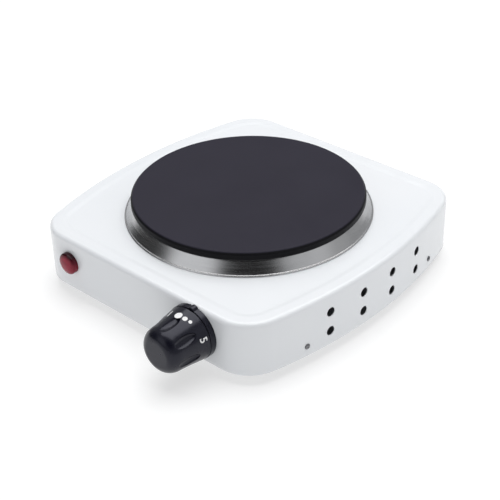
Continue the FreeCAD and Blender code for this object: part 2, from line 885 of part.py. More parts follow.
def make_stack():
    """Riveted ceramic stack with the contact springs and the bimetal strip."""
    start = S.steel + 0.2
    first = S.leaf_y
    second = first + 5.2
    third = second + 4.4
    end = third + 2.4
    rivet_at = (S.stack_x, FRONT_Y + start, S.knob_z)
    publish(rod(rivet_at, "y", S.rivet_radius, end + 0.6 - start), "stack_rivet")

    bracket_back = S.steel + 0.15 + S.bracket_sheet
    spans = (
        (bracket_back, first - S.seat_gap),
        (first + S.leaf_sheet + S.seat_gap, second - S.seat_gap),
        (second + S.leaf_sheet + S.seat_gap, third - S.seat_gap),
        (third + 0.8 + S.seat_gap, end),
    )
    beads = []
    for low, high in spans:
        at = (S.stack_x, FRONT_Y + low, S.knob_z)
        beads.append(tube(at, "y", S.bead_radius, S.rivet_radius + 0.1, high - low))
    publish(fuse(beads), "ceramic_beads")

    low_z = S.knob_z - S.leaf_width * 0.5
    hole = (S.stack_x, FRONT_Y, S.knob_z)

    def strip(x_low, x_high, depth, thick):
        at = (x_low, FRONT_Y + depth, low_z)
        return box(at, (x_high - x_low, thick, S.leaf_width))

    def drilled(item):
        return cut(item, [rod(hole, "y", S.rivet_radius + 0.1, 60)])

    terminal_end = LEAF_ROOT_X - LEAF_ROLL - 0.3
    publish(drilled(strip(20.0, terminal_end, first, S.leaf_sheet)), "leaf_terminal")
    roll_at = (LEAF_ROOT_X, FRONT_Y + first + S.leaf_sheet * 0.5, low_z)
    roll = rod(roll_at, "z", LEAF_ROLL, S.leaf_width)
    publish(fuse([strip(LEAF_ROOT_X, 59.0, first, S.leaf_sheet), roll]), "contact_leaf")
    publish(drilled(strip(14.0, 59.0, second, S.leaf_sheet)), "fixed_leaf")
    publish(drilled(strip(28.0, 62.0, third, 0.8)), "bimetal_strip")

    moving = first + S.leaf_sheet
    at = (CONTACT_X, FRONT_Y + moving, S.knob_z)
    publish(rod(at, "y", 1.8, 1.4), "moving_contact")
    at = (CONTACT_X, FRONT_Y + second - 1.6, S.knob_z)
    publish(rod(at, "y", 1.8, 1.6), "fixed_contact")


# ---- pilot lamp -------------------------------------------------------------------------------


def on_lamp_axis(depth):
    return (S.lamp_x, FRONT_Y + depth, S.lamp_z)


def make_lamp():
    """Domed lens with its barrel, spring clip, neon bulb, bulb holder and resistor."""
    points = [
        (0, -S.lamp_reach),
        (S.lamp_radius, -S.lamp_reach),
        (S.lamp_radius, 0),
        (S.lamp_barrel, 0),
        (S.lamp_barrel, 14),
        (S.lamp_bore, 14),
        (S.lamp_bore, 0),
        (0, -1.2),
    ]
    body = turned_y("lens", on_lamp_axis(0), points)
    soften(body, body.Tip, "Fillet", S.lamp_round, ring_edge(S.lamp_radius, -S.lamp_reach))
    publish(body, "lamp_lens")
    publish(tube(on_lamp_axis(0.9), "y", 8.4, S.lamp_barrel + S.seat_gap, 0.9), "lamp_clip")

    bulb = turned_y("bulb", on_lamp_axis(1), [(0, 0), (2.9, 0), (2.9, 9), (0, 9)])
    soften(bulb, bulb.Tip, "Fillet", 2.0, ring_edge(2.9, 0))
    publish(bulb, "neon_bulb")
    publish(rod(on_lamp_axis(10.1), "y", S.lamp_bore - S.seat_gap, 8.5), "lamp_holder")
    resistor_at = (S.lamp_x - 2, FRONT_Y + 18.7, S.lamp_z)
    publish(rod(resistor_at, "y", 1.2, 6), "lamp_resistor")


# ---- mains side -------------------------------------------------------------------------------


def make_gland():
    """Moulded bushing in the rear wall, bored for the supply cord."""
    points = [
        (S.gland_bore, S.gland_reach),
        (S.gland_bore + 1.6, S.gland_reach),
        (S.gland_bore + 3.0, 2.2),
        (8.5, 2.0),
        (8.5, 0),
        (S.gland_neck, 0),
        (S.gland_neck, -S.steel),
        (8.0, -S.steel),
        (8.0, -4.2),
        (S.gland_bore, -4.2),
    ]
    publish(turned_y("gland", (S.gland_x, BACK_Y, S.gland_z), points), "cord_gland")

    low_x, y = S.gland_x - 13, 99.0
    seats = [(S.gland_x + side, y + 4) for side in (-9, 9)]
    base = box((low_x, y, FLOOR_TOP_Z), (26, 8, 8.6))
    base_holes = [rod((sx, sy, FLOOR_TOP_Z), "z", 1.45, 10) for sx, sy in seats]
    publish(cut(base, base_holes), "cord_clamp_base")
    bar_z = S.gland_z + S.gland_bore
    bar = box((low_x, y, bar_z), (26, 8, 2.5))
    publish(cut(bar, [rod((sx, sy, bar_z), "z", 1.7, 4) for sx, sy in seats]), "cord_clamp_bar")
    screws = []
    for sx, sy in seats:
        head = rod((sx, sy, bar_z + 2.5), "z", 2.8, 1.8)
        screws.append(fuse([rod((sx, sy, FLOOR_TOP_Z + 1), "z", 1.4, bar_z + 2.5 - FLOOR_TOP_Z - 1),
                            head]))
    publish(fuse(screws), "cord_clamp_screws")


POLES = (-55.0, -45.0, -35.0)
POLE_Z = 17.0


def make_mains_block():
    """Three-pole terminal block with brass inserts and clamping screws, and the earth tag."""
    block = box((-62, 78, FLOOR_TOP_Z), (34, 18, 14))
    bores, inserts, screws = [], [], []
    for x in POLES:
        bores.append(rod((x, 77, POLE_Z), "y", 2.5, 20))
        inserts.append(tube((x, 80, POLE_Z), "y", 2.45, 1.4, 14))
        for y in (83.5, 90.5):
            bores.append(rod((x, y, POLE_Z), "z", 1.7, 10))
            screws.append(rod((x, y, POLE_Z + 2.6), "z", 1.6, 3.4))
    publish(cut(block, bores), "mains_block")
    publish(fuse(inserts), "mains_inserts")
    publish(fuse(screws), "mains_screws")

    tag_z = FLOOR_TOP_Z + 0.05
    ring = rod((S.earth_x, S.earth_y, tag_z), "z", 4.2, 0.8)
    tongue = box((S.earth_x - 9, S.earth_y - 2, tag_z), (7, 4, 0.8))
    eye = rod((S.earth_x, S.earth_y, tag_z), "z", 2.15, 0.8)
    publish(cut(fuse([ring, tongue]), [eye]), "earth_tag")
    head = rod((S.earth_x, S.earth_y, tag_z + 0.85), "z", 3.6, 2.2)
    shank = rod((S.earth_x, S.earth_y, FLOOR_Z - 0.8), "z", 2.0, S.steel + 2.5)
    publish(fuse([head, shank]), "earth_screw")


def wire(route, radius):
    """One insulated wire: straight runs joined by tangent arcs as large as the runs allow."""
    points = [Vector(*p) for p in route]
    edges, here = [], points[0]
    for before, corner, after in zip(points, points[1:], points[2:]):
        back, ahead = before - corner, after - corner
        turn = math.pi - back.getAngle(ahead)
        reach = 0.45 * min(back.Length, ahead.Length)
        bend = reach / math.tan(turn / 2)
        start = corner + Vector(back).normalize() * reach
        end = corner + Vector(ahead).normalize() * reach
        inward = (Vector(back).normalize() + Vector(ahead).normalize()).normalize()
        middle = corner + inward * (bend / math.cos(turn / 2) - bend)
        edges.append(Part.LineSegment(here, start).toShape())
        edges.append(Part.Arc(start, middle, end).toShape())
        here = end
    edges.append(Part.LineSegment(here, points[-1]).toShape())
    path = Part.Wire(edges)
    section = Part.Wire([Part.makeCircle(radius, points[0], points[1] - points[0])])
    solid = path.makePipeShell([section], True, True)
    if abs(solid.Volume - math.pi * radius ** 2 * path.Length) > 0.01 * solid.Volume:
        raise RuntimeError("a wire's volume is not its section times its length")
    return solid


def make_wires():
    """Internal wiring between the mains block, the thermostat, the heater and the lamp."""
    core, thin = 1.1, 0.8
    wires = {
        "live_wire": [(core, [(-55, 84, 17), (-55, 66, 17), (-48, 20, 15), (-14, -40, 16),
                              (8, -65.4, 26), (19.8, -65.4, 27.2)])],
        "neutral_wire": [(core, [(-45, 84, 17), (-45, 64, 17), (-46, 40, 30), (-46, 28, 40),
                                 (-46, 17.4, 40)])],
        "switched_wire": [
            (core, [(13.4, -60.2, 27.2), (5, -59, 31), (-18, -50, 38), (-29.5, -38, 40),
                    (-29.5, -27.1, 40)]),
            (core, [(-29.5, -8.9, 40), (-29.5, 3.2, 40)]),
        ],
        "earth_wire": [(core, [(-35, 84, 17), (-35, 70, 17), (-28, 61, 13), (-19.1, 60, 11.2)])],
        "lamp_wires": [
            (thin, [(-60.3, -75.8, 28), (-60.3, -55, 28), (-50, -25, 36), (-46, -10, 40),
                    (-46, 3.2, 40)]),
            (thin, [(-64.3, -69.3, 28), (-64.3, -58, 23), (-52, -35, 22), (-37, -16, 36),
                    (-34, -6, 40), (-34, 3.2, 40)]),
        ],
    }
    for label, runs in wires.items():
        item = doc.addObject("Part::Feature", "Wire")
        solids = [wire(route, radius) for radius, route in runs]
        item.Shape = solids[0] if len(solids) == 1 else Part.makeCompound(solids)
        item.Placement = Placement()
        publish(item, label)


# ---- build, check and write -------------------------------------------------------------------


def check_document():
    doc.recompute()
    for item in doc.Objects:
        if "Invalid" in item.State or "Error" in item.State:
            raise RuntimeError("%s failed to recompute" % item.Label)
    for item in parts:
        if item.Shape.isNull() or not item.Shape.isValid() or not item.Shape.Solids:
            raise RuntimeError("%s has no valid solid" % item.Label)


def write_parts():
    os.makedirs("parts", exist_ok=True)
    for item in parts:
        item.Shape.exportStep("parts/%s.step" % item.Label)
        size = item.Shape.optimalBoundingBox(False, False)
        print("%-22s %d solids  x %.1f..%.1f  y %.1f..%.1f  z %.1f..%.1f" % (
            item.Label, len(item.Shape.Solids), size.XMin, size.XMax, size.YMin, size.YMax,
            size.ZMin, size.ZMax))


fill_sheet()
make_casing()
make_base_plate()
make_base_screws()
make_feet()
make_hot_plate()
make_heater()
make_trim_ring()
make_plate_clamp()
make_bezel()
make_knob()
make_shaft()
make_bracket()
make_adjusting_pin()
make_stack()
make_lamp()
make_gland()
make_mains_block()
make_wires()
check_document()
write_parts()
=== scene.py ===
import json
import math

import bmesh
import bpy
from mathutils import Matrix, Vector


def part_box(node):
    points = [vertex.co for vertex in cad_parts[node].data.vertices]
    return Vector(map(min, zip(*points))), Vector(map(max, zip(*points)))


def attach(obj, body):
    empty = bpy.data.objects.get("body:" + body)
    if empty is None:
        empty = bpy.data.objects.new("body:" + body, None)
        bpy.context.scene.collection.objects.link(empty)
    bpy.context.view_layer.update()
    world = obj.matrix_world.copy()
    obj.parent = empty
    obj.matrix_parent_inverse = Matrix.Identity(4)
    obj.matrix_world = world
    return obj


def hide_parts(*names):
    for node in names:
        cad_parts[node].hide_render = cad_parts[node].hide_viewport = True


# Electric hot plate on a pale studio floor.  Everything is in the frame's metres; MM turns the
# millimetres that the sizes are given in into metres.  The knob faces -Y, +Z is up.

MM = 0.001
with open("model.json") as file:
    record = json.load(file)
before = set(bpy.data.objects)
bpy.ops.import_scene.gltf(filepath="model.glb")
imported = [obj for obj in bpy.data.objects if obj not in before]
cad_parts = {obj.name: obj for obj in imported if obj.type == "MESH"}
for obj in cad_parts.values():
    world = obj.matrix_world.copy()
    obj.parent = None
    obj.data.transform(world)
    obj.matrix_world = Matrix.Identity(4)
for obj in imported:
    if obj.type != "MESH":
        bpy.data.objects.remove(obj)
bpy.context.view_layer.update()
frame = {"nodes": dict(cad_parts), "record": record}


def middle(node):
    low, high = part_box(node)
    return (low + high) / 2


# ---- places read from the frame ---------------------------------------------------------------

CASING_LOW, CASING_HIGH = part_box("casing")
CASING_MID = (CASING_LOW + CASING_HIGH) / 2
WALL_LOW, RIM = CASING_LOW.z, CASING_HIGH.z
FRONT, BACK = CASING_LOW.y, CASING_HIGH.y
PLATE_LOW, PLATE_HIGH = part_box("hot_plate")
PLATE_MID = (PLATE_LOW + PLATE_HIGH) / 2
PLATE_RADIUS = (PLATE_HIGH.x - PLATE_LOW.x) / 2
KNOB_X = middle("knob_shaft").x
KNOB_Z = middle("knob_shaft").z
KNOB_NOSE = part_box("knob")[0].y
KNOB_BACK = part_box("knob_bezel")[0].y - 0.3 * MM
LAMP = middle("lamp_lens")
GLAND = middle("cord_gland")

# ---- the body's plan --------------------------------------------------------------------------

CORNER = 26.1 * MM
HALF_DEPTH = (BACK - FRONT) / 2 - CORNER
SIDE_BOW = 10.6 * MM
HALF_WIDTH = (CASING_HIGH.x - CASING_LOW.x) / 2 - CORNER - SIDE_BOW
SHEET = 0.8 * MM


def plan_points():
    """Points round the body's outer wall, anticlockwise from the front left, each with its normal."""
    bow = (HALF_DEPTH ** 2 + SIDE_BOW ** 2) / (2 * SIDE_BOW)
    lean = math.asin(HALF_DEPTH / bow)
    arc_x = HALF_WIDTH + SIDE_BOW - bow
    quarter = math.pi / 2
    points = []

    def straight(y, start, end, steps):
        for i in range(steps):
            x = start + (end - start) * i / steps
            points.append((x, y, 0.0, math.copysign(1.0, y)))

    def arc(x, y, radius, start, end, steps):
        for i in range(steps):
            angle = start + (end - start) * i / steps
            nx, ny = math.cos(angle), math.sin(angle)
            points.append((x + radius * nx, y + radius * ny, nx, ny))

    wall = HALF_DEPTH + CORNER
    straight(-wall, -HALF_WIDTH, HALF_WIDTH, 56)
    arc(HALF_WIDTH, -HALF_DEPTH, CORNER, -quarter, -lean, 26)
    arc(arc_x, 0, bow + CORNER, -lean, lean, 84)
    arc(HALF_WIDTH, HALF_DEPTH, CORNER, lean, quarter, 26)
    straight(wall, HALF_WIDTH, -HALF_WIDTH, 56)
    arc(-HALF_WIDTH, HALF_DEPTH, CORNER, quarter, 2 * quarter - lean, 26)
    arc(-arc_x, 0, bow + CORNER, 2 * quarter - lean, 2 * quarter + lean, 84)
    arc(-HALF_WIDTH, -HALF_DEPTH, CORNER, 2 * quarter + lean, 3 * quarter, 26)
    return [(x + CASING_MID.x, y + CASING_MID.y, nx, ny) for x, y, nx, ny in points]


def side_wall(y, sign):
    """The outer face of the right (sign 1) or left wall at y from the body's middle, and its normal."""
    bow = (HALF_DEPTH ** 2 + SIDE_BOW ** 2) / (2 * SIDE_BOW)
    lean = math.asin(y / (bow + CORNER))
    x = HALF_WIDTH + SIDE_BOW - bow + (bow + CORNER) * math.cos(lean)
    place = Vector((CASING_MID.x + sign * x, CASING_MID.y + y, 0))
    return place, Vector((sign * math.cos(lean), math.sin(lean), 0))


# ---- mesh tools -------------------------------------------------------------------------------


def piece(name, verts, faces):
    mesh = bpy.data.meshes.new(name)
    mesh.from_pydata([tuple(v) for v in verts], [], faces)
    mesh.validate()
    obj = bpy.data.objects.new(name, mesh)
    bpy.context.scene.collection.objects.link(obj)
    work = bmesh.new()
    work.from_mesh(mesh)
    bmesh.ops.recalc_face_normals(work, faces=work.faces)
    work.to_mesh(mesh)
    work.free()
    mesh.polygons.foreach_set("use_smooth", [True] * len(mesh.polygons))
    return obj


def settle(obj):
    """Applies an object's modifiers to its mesh."""
    graph = bpy.context.evaluated_depsgraph_get()
    graph.update()
    mesh = bpy.data.meshes.new_from_object(obj.evaluated_get(graph))
    obj.modifiers.clear()
    obj.data = mesh
    mesh.polygons.foreach_set("use_smooth", [True] * len(mesh.polygons))
    return obj


def even_shading(obj):
    """Large flat faces stay flat beside small round ones."""
    modifier = obj.modifiers.new("even", "WEIGHTED_NORMAL")
    modifier.weight = 100
    modifier.keep_sharp = True
    return obj


def rounded(points, steps=5):
    """Outline from (u, v, radius) corners, each corner turned into an arc of its radius."""
    outline = []
    count = len(points)
    for i, (u, v, radius) in enumerate(points):
        here = Vector((u, v))
        if radius <= 0:
            outline.append(here)
            continue
        back = Vector(points[i - 1][:2]) - here
        ahead = Vector(points[(i + 1) % count][:2]) - here
        half = back.angle(ahead) / 2
        reach = min(radius / math.tan(half), 0.49 * back.length, 0.49 * ahead.length)
        radius = reach * math.tan(half)
        start, end = here + back.normalized() * reach, here + ahead.normalized() * reach
        centre = here + (back.normalized() + ahead.normalized()).normalized() * (
            radius / math.sin(half))
        sweep = (start - centre).angle_signed(end - centre)
        for step in range(steps + 1):
            spoke = (start - centre).copy()
            spoke.rotate(Matrix.Rotation(-sweep * step / steps, 2))
            outline.append(centre + spoke)
    return outline


def lathe(name, outline, centre, axis="Z", segments=160):
    """Turns an outline of (radius, height) about an axis through centre; radius 0 closes at a pole."""
    verts, faces, rings = [], [], []
    for radius, height in outline:
        if radius < 1e-7:
            rings.append([len(verts)])
            count = 1
        else:
            rings.append(list(range(len(verts), len(verts) + segments)))
            count = segments
        for k in range(count):
            angle = 2 * math.pi * k / segments
            across, along = radius * math.cos(angle), radius * math.sin(angle)
            local = (across, along, height) if axis == "Z" else (across, height, along)
            verts.append(Vector(local) + centre)
    closed = len(rings[0]) > 1
    last = len(rings) if closed else len(rings) - 1
    for i in range(last):
        join_rings(faces, rings[i], rings[(i + 1) % len(rings)])
    return piece(name, verts, faces)


def join_rings(faces, low, high):
    count = max(len(low), len(high))
    for k in range(count):
        after = (k + 1) % count
        if len(low) == 1:
            faces.append((low[0], high[k], high[after]))
        elif len(high) == 1:
            faces.append((low[k], low[after], high[0]))
        else:
            faces.append((low[k], low[after], high[after], high[k]))


def subtract(obj, cutters):
    """Cuts closed meshes out of obj."""
    for cutter in cutters:
        modifier = obj.modifiers.new("cut", "BOOLEAN")
        modifier.operation = "DIFFERENCE"
        modifier.solver = "EXACT"
        modifier.object = cutter
    settle(obj)
    for cutter in cutters:
        bpy.data.objects.remove(cutter)
    return obj


def join(name, objects):
    """One mesh object from several."""
    work = bmesh.new()
    for obj in objects:
        obj.data.transform(obj.matrix_world)
        work.from_mesh(obj.data)
    mesh = bpy.data.meshes.new(name)
    work.to_mesh(mesh)
    work.free()
    for obj in objects:
        bpy.data.objects.remove(obj)
    joined = bpy.data.objects.new(name, mesh)
    bpy.context.scene.collection.objects.link(joined)
    mesh.polygons.foreach_set("use_smooth", [True] * len(mesh.polygons))
    return joined


def stand(obj, place, direction):
    """Puts an object modelled about its own Z at place, with its Z along direction."""
    obj.matrix_world = (Matrix.Translation(place)
                        @ Vector(direction).to_track_quat("Z", "Y").to_matrix().to_4x4())
    obj.data.transform(obj.matrix_world)
    obj.matrix_world = Matrix.Identity(4)
    return obj


def drill(radius, place, direction, depth=6 * MM, flare=0.4 * MM):
    """A cutter for a hole whose rim is rounded over; place is on the outer face."""
    outline = [(0, -depth), (radius, -depth), (radius, -flare)]
    steps = 4
    for step in range(1, steps + 1):
        turn = math.pi / 2 * step / (steps + 0.6)
        outline.append((radius + flare * (1 - math.cos(turn)), -flare * (1 - math.sin(turn))))
    edge = outline[-1][0] + 0.3 * MM
    outline += [(edge, 0.35 * MM), (edge, 2 * MM), (0, 2 * MM)]
    return stand(lathe("drill", outline, Vector(), segments=48), place, direction)


# ---- materials --------------------------------------------------------------------------------


class Shader:
    """A Principled material with short ways to add the usual nodes."""

    def __init__(self, name, **values):
        self.material = bpy.data.materials.new(name)
        self.material.use_nodes = True
        self.tree = self.material.node_tree
        self.bsdf = self.tree.nodes["Principled BSDF"]
        for key, value in values.items():
            self.bsdf.inputs[key.replace("_", " ")].default_value = value
        self.coords = self.tree.nodes.new("ShaderNodeTexCoord").outputs["Object"]
        self.height = None

    def node(self, kind, **settings):
        made = self.tree.nodes.new("ShaderNode" + kind)
        for key, value in settings.items():
            setattr(made, key, value)
        return made

    def link(self, source, target):
        self.tree.links.new(source, target)

    def math(self, operation, first, second=None, clamp=False):
        made = self.node("Math", operation=operation, use_clamp=clamp)
        for socket, value in zip(made.inputs, (first, second)):
            if value is None:
                continue
            if isinstance(value, (int, float)):
                socket.default_value = value
            else:
                self.link(value, socket)
        return made.outputs[0]

    def noise(self, scale, detail=3.0, rough=0.5, vector=None):
        made = self.node("TexNoise")
        made.inputs["Scale"].default_value = scale
        made.inputs["Detail"].default_value = detail
        made.inputs["Roughness"].default_value = rough
        self.link(vector or self.coords, made.inputs["Vector"])
        return made.outputs["Fac"]

    def cells(self, scale, feature="F1"):
        made = self.node("TexVoronoi", feature=feature)
        made.inputs["Scale"].default_value = scale
        self.link(self.coords, made.inputs["Vector"])
        return made

    def span(self, source, low, high, start=0.3, end=0.7):
        made = self.node("MapRange")
        for name, value in (("From Min", start), ("From Max", end), ("To Min", low),
                            ("To Max", high)):
            made.inputs[name].default_value = value
        self.link(source, made.inputs["Value"])
        return made.outputs["Result"]

    def blend(self, factor, first, second):
        made = self.node("Mix", data_type="RGBA")
        self.link(factor, made.inputs["Factor"])
        for socket, value in ((made.inputs[6], first), (made.inputs[7], second)):
            if isinstance(value, (tuple, list)):
                socket.default_value = (*value[:3], 1.0)
            else:
                self.link(value, socket)
        return made.outputs[2]

    def colour(self, factor, first, second):
        result = self.blend(factor, first, second)
        self.link(result, self.bsdf.inputs["Base Color"])
        return result

    def roughness(self, source, low, high, start=0.3, end=0.7):
        self.link(self.span(source, low, high, start, end), self.bsdf.inputs["Roughness"])

    def bump(self, source, strength, distance):
        made = self.node("Bump")
        made.inputs["Strength"].default_value = strength
        made.inputs["Distance"].default_value = distance
        self.link(source, made.inputs["Height"])
        if self.height is not None:
            self.link(self.height, made.inputs["Normal"])
        self.height = made.outputs["Normal"]
        self.link(self.height, self.bsdf.inputs["Normal"])

    def about(self, centre, axis="Z"):
        """Radius from an axis, angle about it and height along it, as sockets in metres."""
        shift = self.node("VectorMath", operation="SUBTRACT")
        shift.inputs[1].default_value = tuple(centre)
        self.link(self.coords, shift.inputs[0])
        split = self.node("SeparateXYZ")
        self.link(shift.outputs[0], split.inputs[0])
        x, y, z = split.outputs
        first, second, along = (x, y, z) if axis == "Z" else (x, z, y)
        squares = self.math("ADD", self.math("MULTIPLY", first, first),
                            self.math("MULTIPLY", second, second))
        return self.math("SQRT", squares), self.math("ARCTAN2", second, first), along

    def combine(self, x, y, z):
        made = self.node("CombineXYZ")
        for socket, value in zip(made.inputs, (x, y, z)):
            if isinstance(value, (int, float)):
                socket.default_value = value
            else:
                self.link(value, socket)
        return made.outputs[0]


def enamel():
    s = Shader("enamel", Specular_IOR_Level=0.38, Coat_Weight=0.2, Coat_Roughness=0.12)
    drift = s.noise(9.0, 2.0)
    s.colour(s.span(drift, 0, 1), (0.80, 0.82, 0.845), (0.83, 0.845, 0.865))
    s.roughness(s.noise(45.0, 3.0), 0.17, 0.27)
    s.bump(s.noise(700.0, 2.0), 0.08, 0.0002)
    s.bump(s.noise(38.0, 1.0), 0.10, 0.0006)
    return s.material


def cast_iron():
    s = Shader("cast_iron", Specular_IOR_Level=0.12)
    radius, _, height = s.about((PLATE_MID.x, PLATE_MID.y, 0))
    rings = s.math("SINE", s.math("MULTIPLY", radius, 2 * math.pi / (1.1 * MM)))
    grain = s.noise(1900.0, 3.0, 0.6)
    patch = s.noise(26.0, 4.0, 0.55)
    face = s.blend(s.span(patch, 0, 1), (0.0200, 0.0180, 0.0290), (0.0250, 0.0230, 0.0350))
    # Painted shade: the plate's edge and sides, from just under the top down, are coloured near black.
    # The top keeps the iron's face colour, so the sides read as faces in shade from the overhead light.
    lit_top = s.span(height, 0, 1, PLATE_HIGH.z - 0.6 * MM, PLATE_HIGH.z - 0.35 * MM)
    s.colour(lit_top, (0.003, 0.003, 0.0045), face)
    s.roughness(patch, 0.42, 0.54)
    s.bump(rings, 0.05, 0.00012)
    s.bump(grain, 0.14, 0.00014)
    return s.material


def stainless():
    s = Shader("stainless", Metallic=1.0, Anisotropic=0.0)
    radius, angle, height = s.about((PLATE_MID.x, PLATE_MID.y, 0))
    streaks = s.combine(s.math("MULTIPLY", radius, 2600.0), s.math("MULTIPLY", angle, 3.0),
                        s.math("MULTIPLY", height, 2600.0))
    brushed = s.noise(1.0, 3.0, 0.6, streaks)
    stain = s.noise(34.0, 3.0)
    s.colour(s.span(stain, 0, 1), (0.52, 0.52, 0.525), (0.59, 0.59, 0.595))
    s.roughness(brushed, 0.18, 0.27)
    s.bump(brushed, 0.05, 0.00006)
    return s.material


def knob_plastic():
    s = Shader("knob_plastic", Specular_IOR_Level=0.36, Specular_Tint=(0.86, 0.87, 1.0, 1))
    s.colour(s.span(s.noise(60.0, 2.0), 0, 1), (0.0040, 0.0040, 0.0085), (0.0065, 0.0065, 0.0125))
    s.roughness(s.noise(220.0, 3.0), 0.20, 0.28)
    s.bump(s.noise(2600.0, 2.0), 0.10, 0.00008)
    return s.material


def print_white():
    s = Shader("print_white", Roughness=0.5)
    s.colour(s.span(s.noise(900.0, 3.0), 0, 1), (0.80, 0.80, 0.80), (0.90, 0.90, 0.90))
    s.bump(s.noise(3000.0, 2.0), 0.1, 0.00003)
    return s.material


def red_lens():
    s = Shader("red_lens", Specular_IOR_Level=0.14, Coat_Weight=0.08, Coat_Roughness=0.05,
               Transmission_Weight=0.15, IOR=1.5)
    radius = s.about((LAMP.x, 0, LAMP.z), axis="Y")[0]
    split = s.node("SeparateXYZ")
    s.link(s.coords, split.inputs[0])
    # Painted shade: the lens is coloured dark towards its rim, faintly at the bottom and fully at the
    # top.
    top_shade_weight = s.span(split.outputs["Z"], 0.25, 1, LAMP.z - 1 * MM, LAMP.z + 6 * MM)
    edge = s.math("MULTIPLY", s.span(radius, 0, 1, 4.2 * MM, 7.0 * MM), top_shade_weight)
    mottled = s.noise(500.0, 2.0)
    core = s.blend(s.span(mottled, 0, 1), (0.25, 0.005, 0.026), (0.36, 0.010, 0.038))
    s.colour(edge, core, (0.03, 0.001, 0.005))
    s.roughness(mottled, 0.10, 0.20)
    ribs = s.math("SINE", s.math("MULTIPLY", radius, 2 * math.pi / (0.9 * MM)))
    s.bump(ribs, 0.12, 0.0001)
    return s.material


def sheet_zinc(name, light, dark, grain):
    """Galvanised or plated steel with a faint spangle."""
    s = Shader(name, Metallic=1.0)
    spangle = s.cells(grain)
    s.colour(s.span(spangle.outputs["Distance"], 0, 1, 0.0, 0.8), light, dark)
    s.roughness(spangle.outputs["Distance"], 0.30, 0.46, 0.0, 0.8)
    s.bump(s.noise(900.0, 2.0), 0.08, 0.0001)
    return s.material


def moulded(name, first, second, rough, grain=900.0, strength=0.12):
    """Plastic, rubber or ceramic with a fine moulded grain."""
    s = Shader(name, Specular_IOR_Level=0.45)
    s.colour(s.span(s.noise(45.0, 3.0), 0, 1), first, second)
    s.roughness(s.noise(150.0, 3.0), rough, min(1.0, rough + 0.12))
    s.bump(s.noise(grain, 3.0), strength, 0.0001)
    return s.material


def brass():
    s = Shader("brass", Metallic=1.0)
    s.colour(s.span(s.noise(120.0, 3.0), 0, 1), (0.66, 0.47, 0.20), (0.78, 0.60, 0.30))
    s.roughness(s.noise(300.0, 3.0), 0.22, 0.38)
    s.bump(s.noise(1500.0, 2.0), 0.06, 0.00005)
    return s.material


def bulb_glass():
    s = Shader("bulb_glass", Transmission_Weight=1.0, IOR=1.45)
    s.colour(s.span(s.noise(300.0, 2.0), 0, 1), (0.95, 0.90, 0.86), (0.98, 0.95, 0.92))
    s.roughness(s.noise(400.0, 2.0), 0.03, 0.08)
    return s.material


# ---- body -------------------------------------------------------------------------------------

TOP_ROUND = 3.2 * MM
PAN_DEPTH = 0.6 * MM
PAN_START, PAN_END = 7.8 * MM, 12.6 * MM
PLATE_OPENING = 77.2 * MM
VENT_RADIUS = 3.1 * MM
VENT_PITCH = 29.4 * MM
VENT_HEIGHTS = (9.6 * MM, 23.6 * MM)
SCREW_Y, SCREW_Z = 62.8 * MM, 7.0 * MM


def casing_profile():
    """(inset, z) up the outer wall, over the rounded rim and down into the spill pan."""
    profile = [(0.0, WALL_LOW + t * (RIM - TOP_ROUND - WALL_LOW)) for t in
               (0, 0.06, 0.2, 0.35, 0.5, 0.65, 0.8, 0.93, 1.0)]
    steps = 9
    for step in range(1, steps + 1):
        turn = math.pi / 2 * step / steps
        profile.append((TOP_ROUND * (1 - math.cos(turn)), RIM - TOP_ROUND * (1 - math.sin(turn))))
    steps = 10
    for step in range(steps + 1):
        t = step / steps
        ease = t * t * (3 - 2 * t)
        profile.append((PAN_START + (PAN_END - PAN_START) * t, RIM - PAN_DEPTH * ease))
    return profile


def make_casing():
    """Enamelled shell: bowed walls, rounded rim, spill pan, plate opening and every wall hole."""
    plan = plan_points()
    count = len(plan)
    verts, rings = [], []
    for inset, z in casing_profile():
        rings.append(list(range(len(verts), len(verts) + count)))
        verts += [Vector((x - nx * inset, y - ny * inset, z)) for x, y, nx, ny in plan]
    inner = verts[-count:]
    steps = 7
    for step in range(1, steps + 1):
        rings.append(list(range(len(verts), len(verts) + count)))
        for spot in inner:
            out = (Vector((spot.x, spot.y, 0)) - Vector((PLATE_MID.x, PLATE_MID.y, 0))).normalized()
            end = Vector((PLATE_MID.x, PLATE_MID.y, spot.z)) + out * PLATE_OPENING
            verts.append(spot.lerp(end, step / steps))
    faces = []
    for low, high in zip(rings, rings[1:]):
        join_rings(faces, low, high)
    shell = piece("casing_shell", verts, faces)
    if shell.data.polygons[0].normal.y > 0:
        shell.data.flip_normals()
    skin = shell.modifiers.new("sheet", "SOLIDIFY")
    skin.thickness = SHEET
    skin.offset = -1
    skin.use_even_offset = True
    settle(shell)

    cutters = []
    for sign in (-1, 1):
        for column in (-1.5, -0.5, 0.5, 1.5):
            for height in VENT_HEIGHTS:
                place, normal = side_wall(column * VENT_PITCH, sign)
                place.z = WALL_LOW + height
                cutters.append(drill(VENT_RADIUS, place, normal))
        for y in (-SCREW_Y, SCREW_Y):
            place, normal = side_wall(y, sign)
            place.z = WALL_LOW + SCREW_Z
            cutters.append(drill(1.6 * MM, place, normal))
    front = Vector((0, -1, 0))
    cutters.append(drill(6.0 * MM, Vector((LAMP.x, FRONT, LAMP.z)), front))
    cutters.append(drill(5.5 * MM, Vector((KNOB_X, FRONT, KNOB_Z)), front))
    cutters.append(drill(6.15 * MM, Vector((GLAND.x, BACK, GLAND.z)), -front))
    subtract(shell, [join("drills", cutters)])
    finish(shell, "body", "enamel", "enamel", "casing")


def finish(obj, body, material, slot, *nodes):
    """Shading, material and body of a finished piece; the slot argument is not used."""
    even_shading(obj)
    obj.data.materials.clear()
    obj.data.materials.append(MATERIALS[material])
    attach(obj, body)
    if nodes:
        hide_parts(*nodes)


